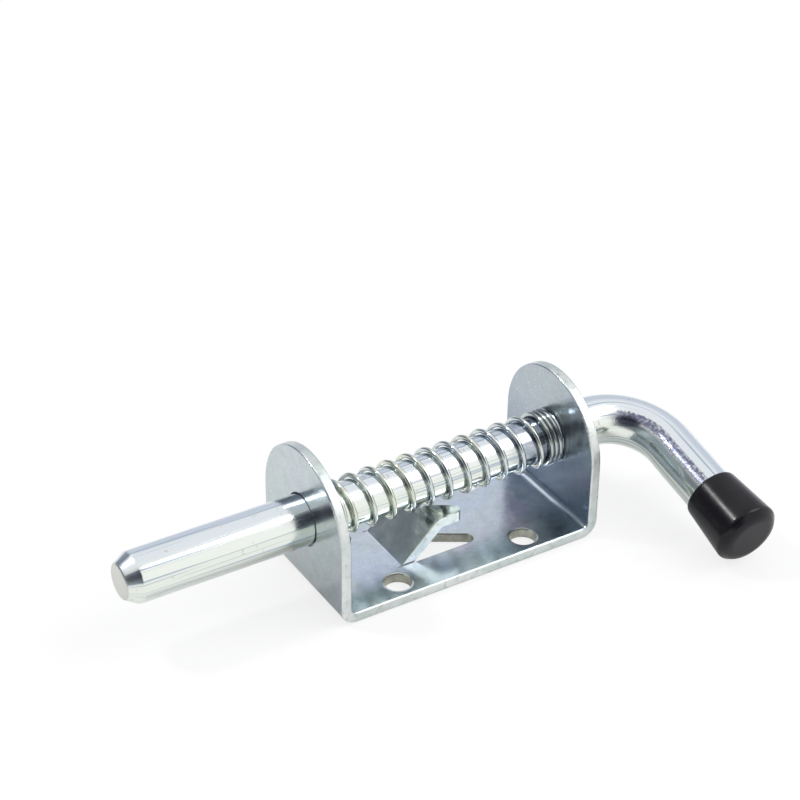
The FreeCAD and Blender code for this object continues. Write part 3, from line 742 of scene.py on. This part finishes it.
bar.data.materials.append(bar_finish())
print("bar has", bar.data.materials[0].name)

# %% [markdown]
# ### Wire and pin
# The spring's wire is drawn too, with fine lines along it, and has painted shade where its coils lie closed
# at the rear ear. The pin is unplated steel, nearly black, with marks of its rolling.

# %% Wire and pin finishes
WIRE_TINTS = (0.66, 0.70, 0.70), (0.70, 0.72, 0.60), (0.74, 0.72, 0.70)
CLOSED_GREY, DRAWN_OLIVE = (0.34, 0.37, 0.38), (0.34, 0.35, 0.31)
CLOSED_FROM = (wire_along[-1] - (REAR_TURNS + RAMP_TURNS) * 2 * math.pi * COIL_RADIUS) * MM
DARKENS_OVER = 30 * MM
PIN_TINTS = (0.16, 0.16, 0.17), (0.20, 0.20, 0.19), (0.18, 0.17, 0.17)


def wire_finish():
    """Plated spring wire."""
    material, tree, skin, place = new_finish("spring_wire_finish")
    draw = noise(tree, place["UV"], 1.0, 3, 0.6, (12, 260, 1))
    reach = parts_of(tree, place["UV"])["Y"]
    closed = step(tree, reach, CLOSED_FROM, CLOSED_FROM + DARKENS_OVER, 0.0, 0.6)
    colour = hazed(tree, place["Object"], *WIRE_TINTS)
    # Painted shade: the wire darkens over the closed coils at the rear ear.
    colour = painted(tree, colour, CLOSED_GREY, closed)
    colour = painted(tree, colour, DRAWN_OLIVE, step(tree, draw, 0.60, 0.72, 0.0, 0.6))
    feed(tree, colour, skin["Base Color"])
    feed(tree, step(tree, draw, 0.3, 0.7, 0.07, 0.18), skin["Roughness"])
    relief(tree, skin, draw, 0.12)
    return material


def pin_finish():
    """Dull rolled steel."""
    material, tree, skin, place = new_finish("pin_finish")
    marks = noise(tree, place["Object"], 900, 3, 0.6)
    feed(tree, hazed(tree, place["Object"], *PIN_TINTS), skin["Base Color"])
    feed(tree, step(tree, marks, 0.3, 0.7, 0.28, 0.45), skin["Roughness"])
    relief(tree, skin, marks, 0.3)
    return material


coil.data.materials.append(wire_finish())
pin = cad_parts["cross_pin"]
pin.data.materials.clear()
pin.data.materials.append(pin_finish())
print("spring has", coil.data.materials[0].name, "and the pin", pin.data.materials[0].name)

# %% [markdown]
# ### Cap
# The cap is black moulded plastic with a satin skin. A slight cloud in its gloss and very fine pores in
# its relief keep it from looking like a flat black shape, and its rounded shoulder shines a little more.

# %% Cap finish
BLACK, LIGHTER_BLACK = (0.006, 0.005, 0.007), (0.011, 0.010, 0.013)
SHINING = (44.5 * MM, 45.3 * MM, 46.6 * MM, 47.0 * MM)


def cap_finish():
    """Black moulded plastic."""
    material, tree, skin, place = new_finish("black_plastic_finish", metallic=0.0)
    clouds = noise(tree, place["Object"], 180, 3)
    feed(tree, shade_ramp(tree, clouds, 0.3, BLACK, 0.7, LIGHTER_BLACK), skin["Base Color"])
    shoulder = window(tree, parts_of(tree, place["UV"])["Y"], *SHINING)
    rough = step(tree, clouds, 0.3, 0.7, 0.19, 0.27)
    feed(tree, math_node(tree, "MULTIPLY_ADD", shoulder, -0.08, rough), skin["Roughness"])
    skin["Specular IOR Level"].default_value = 0.23
    relief(tree, skin, noise(tree, place["Object"], 2600, 2), 0.12)
    return material


cap.data.materials.append(cap_finish())
print("cap has", cap.data.materials[0].name)

# %% [markdown]
# ## Floor, light and camera
# The latch lies on matt white paper. The camera sees it as plain white, as in the photo, while the plate
# mirrors less of its glow and the latch still throws its shadow on it.

# %% Floor
PAPER_DARK, PAPER_LIGHT = (0.88, 0.88, 0.88), (0.90, 0.90, 0.90)
FLOOR_GAP = 0.2 * MM
bpy.ops.mesh.primitive_plane_add(size=6, location=(0, 0, -FLOOR_GAP))
floor = bpy.context.object
floor.name = "floor"


def shown_white(tree, share, under, white, output):
    """Mixes a white shader over another by a share, and puts the result out."""
    pick = node(tree, "ShaderNodeMixShader")
    for source, target in zip((share, under, white), pick.inputs):
        feed(tree, source, target)
    feed(tree, pick.outputs[0], output)


def paper_finish():
    """Matt white paper that glows for the camera and, less, in mirrors."""
    material, tree, skin, place = new_finish("floor_paper", metallic=0.0)
    skin["Roughness"].default_value = 0.9
    fibres = noise(tree, place["Object"], 300, 3)
    feed(tree, shade_ramp(tree, fibres, 0.3, PAPER_DARK, 0.7, PAPER_LIGHT), skin["Base Color"])
    rays = node(tree, "ShaderNodeLightPath").outputs
    mirrored = largest(tree, rays["Is Glossy Ray"], rays["Is Transmission Ray"])
    seen = largest(tree, product(tree, rays["Is Camera Ray"], 0.8), product(tree, mirrored, 0.2))
    white = node(tree, "ShaderNodeEmission", Strength=1.0)
    shown_white(tree, seen, tree.nodes["Principled BSDF"].outputs[0], white.outputs[0],
                tree.nodes["Material Output"].inputs["Surface"])
    return material


floor.data.materials.append(paper_finish())
print("floor has", floor.data.materials[0].name)

# %% [markdown]
# The camera's place, direction and lens were fitted to the photo. The sky needs the direction too,
# because the dark room that it shows lies round the camera.

# %% View direction
CAMERA_PLACE = Vector((-0.2253, -0.3484, 0.3070))
AZIMUTH, ELEVATION, ROLL = math.radians(-31.79), math.radians(32.88), math.radians(0.74)
ahead = Vector((-math.sin(AZIMUTH) * math.cos(ELEVATION), math.cos(AZIMUTH) * math.cos(ELEVATION),
                -math.sin(ELEVATION)))
print("camera looks along", [round(v, 3) for v in ahead])

# %% [markdown]
# The plate mirrors a studio: white overhead and on the near side, a pale lavender wall behind, and dark
# on the left and round the camera. The camera itself sees a white sky.

# %% Sky
FAR_WALL = (0.72, 0.75, 0.82)
NEAR_WALL = (1.12, 1.12, 1.12)
DARK_SIDE = (0.20, 0.23, 0.27)
OVERHEAD = (1.0, 1.0, 1.0)
ROOM = (0.05, 0.05, 0.08)
NEAR_AND_UP = (0, -0.927, 0.375)


def towards(tree, way, direction):
    """Cosine of the angle between the looked-at way and a direction."""
    made = node(tree, "ShaderNodeVectorMath", operation="DOT_PRODUCT")
    feed(tree, way, made.inputs[0])
    made.inputs[1].default_value = direction
    return made.outputs["Value"]


world = bpy.data.worlds.new("studio")
bpy.context.scene.world = world
world.use_nodes = True
tree = world.node_tree
way = node(tree, "ShaderNodeTexCoord").outputs["Generated"]
way_parts = parts_of(tree, way)
sky = painted(tree, FAR_WALL, NEAR_WALL, step(tree, towards(tree, way, NEAR_AND_UP), -0.15, 0.10))
sky = painted(tree, DARK_SIDE, sky, step(tree, way_parts["X"], -0.30, 0.15))
sky = painted(tree, sky, OVERHEAD, step(tree, way_parts["Z"], 0.50, 0.75))
sky = painted(tree, sky, ROOM, step(tree, towards(tree, way, -ahead), 0.86, 0.96))
back = tree.nodes["Background"]
feed(tree, sky, back.inputs["Color"])
white = node(tree, "ShaderNodeBackground", Strength=1.0)
feed(tree, OVERHEAD, white.inputs["Color"])
camera_ray = node(tree, "ShaderNodeLightPath").outputs["Is Camera Ray"]
shown_white(tree, camera_ray, back.outputs[0], white.outputs[0], tree.nodes["World Output"].inputs["Surface"])
print("made sky", world.name)

# %% [markdown]
# Two soft lamps: a large one on the right gives most of the light, and a small one behind on the left
# draws highlights along the round pieces.

# %% Lamps
LAMP_TARGET = Vector((0, 0, 0.015))


def soft_lamp(name, place, size, watts):
    """A square area lamp at a place, facing the latch."""
    lamp = bpy.data.lights.new(name, "AREA")
    lamp.size = size
    lamp.energy = watts
    holder = bpy.data.objects.new(name, lamp)
    holder.location = place
    holder.rotation_euler = (LAMP_TARGET - Vector(place)).to_track_quat("-Z", "Y").to_euler()
    bpy.context.scene.collection.objects.link(holder)
    print(name, "gives", watts, "W")


soft_lamp("key_lamp", (0.65, -0.40, 0.85), 0.7, 4.5)
soft_lamp("rim_lamp", (-0.44, 0.40, 0.80), 0.10, 2.4)

# %% [markdown]
# The camera stands at its place, looks ahead and is rolled a little about that direction, like the one
# that took the photo.

# %% Camera
level = ahead.cross(Vector((0, 0, 1))).normalized()
right = level * math.cos(ROLL) + level.cross(ahead) * math.sin(ROLL)
camera_up = right.cross(ahead)
camera_data = bpy.data.cameras.new("camera")
camera_data.sensor_width = 36
camera_data.lens = 99.0
camera_data.clip_start = 0.01
camera = bpy.data.objects.new("camera", camera_data)
bpy.context.scene.collection.objects.link(camera)
camera_axes = Matrix((right, camera_up, -ahead)).transposed().to_4x4()
camera.matrix_world = Matrix.Translation(CAMERA_PLACE) @ camera_axes
bpy.context.scene.camera = camera
bpy.context.scene.view_settings.view_transform = "Standard"
print("camera has a", camera_data.lens, "mm lens")
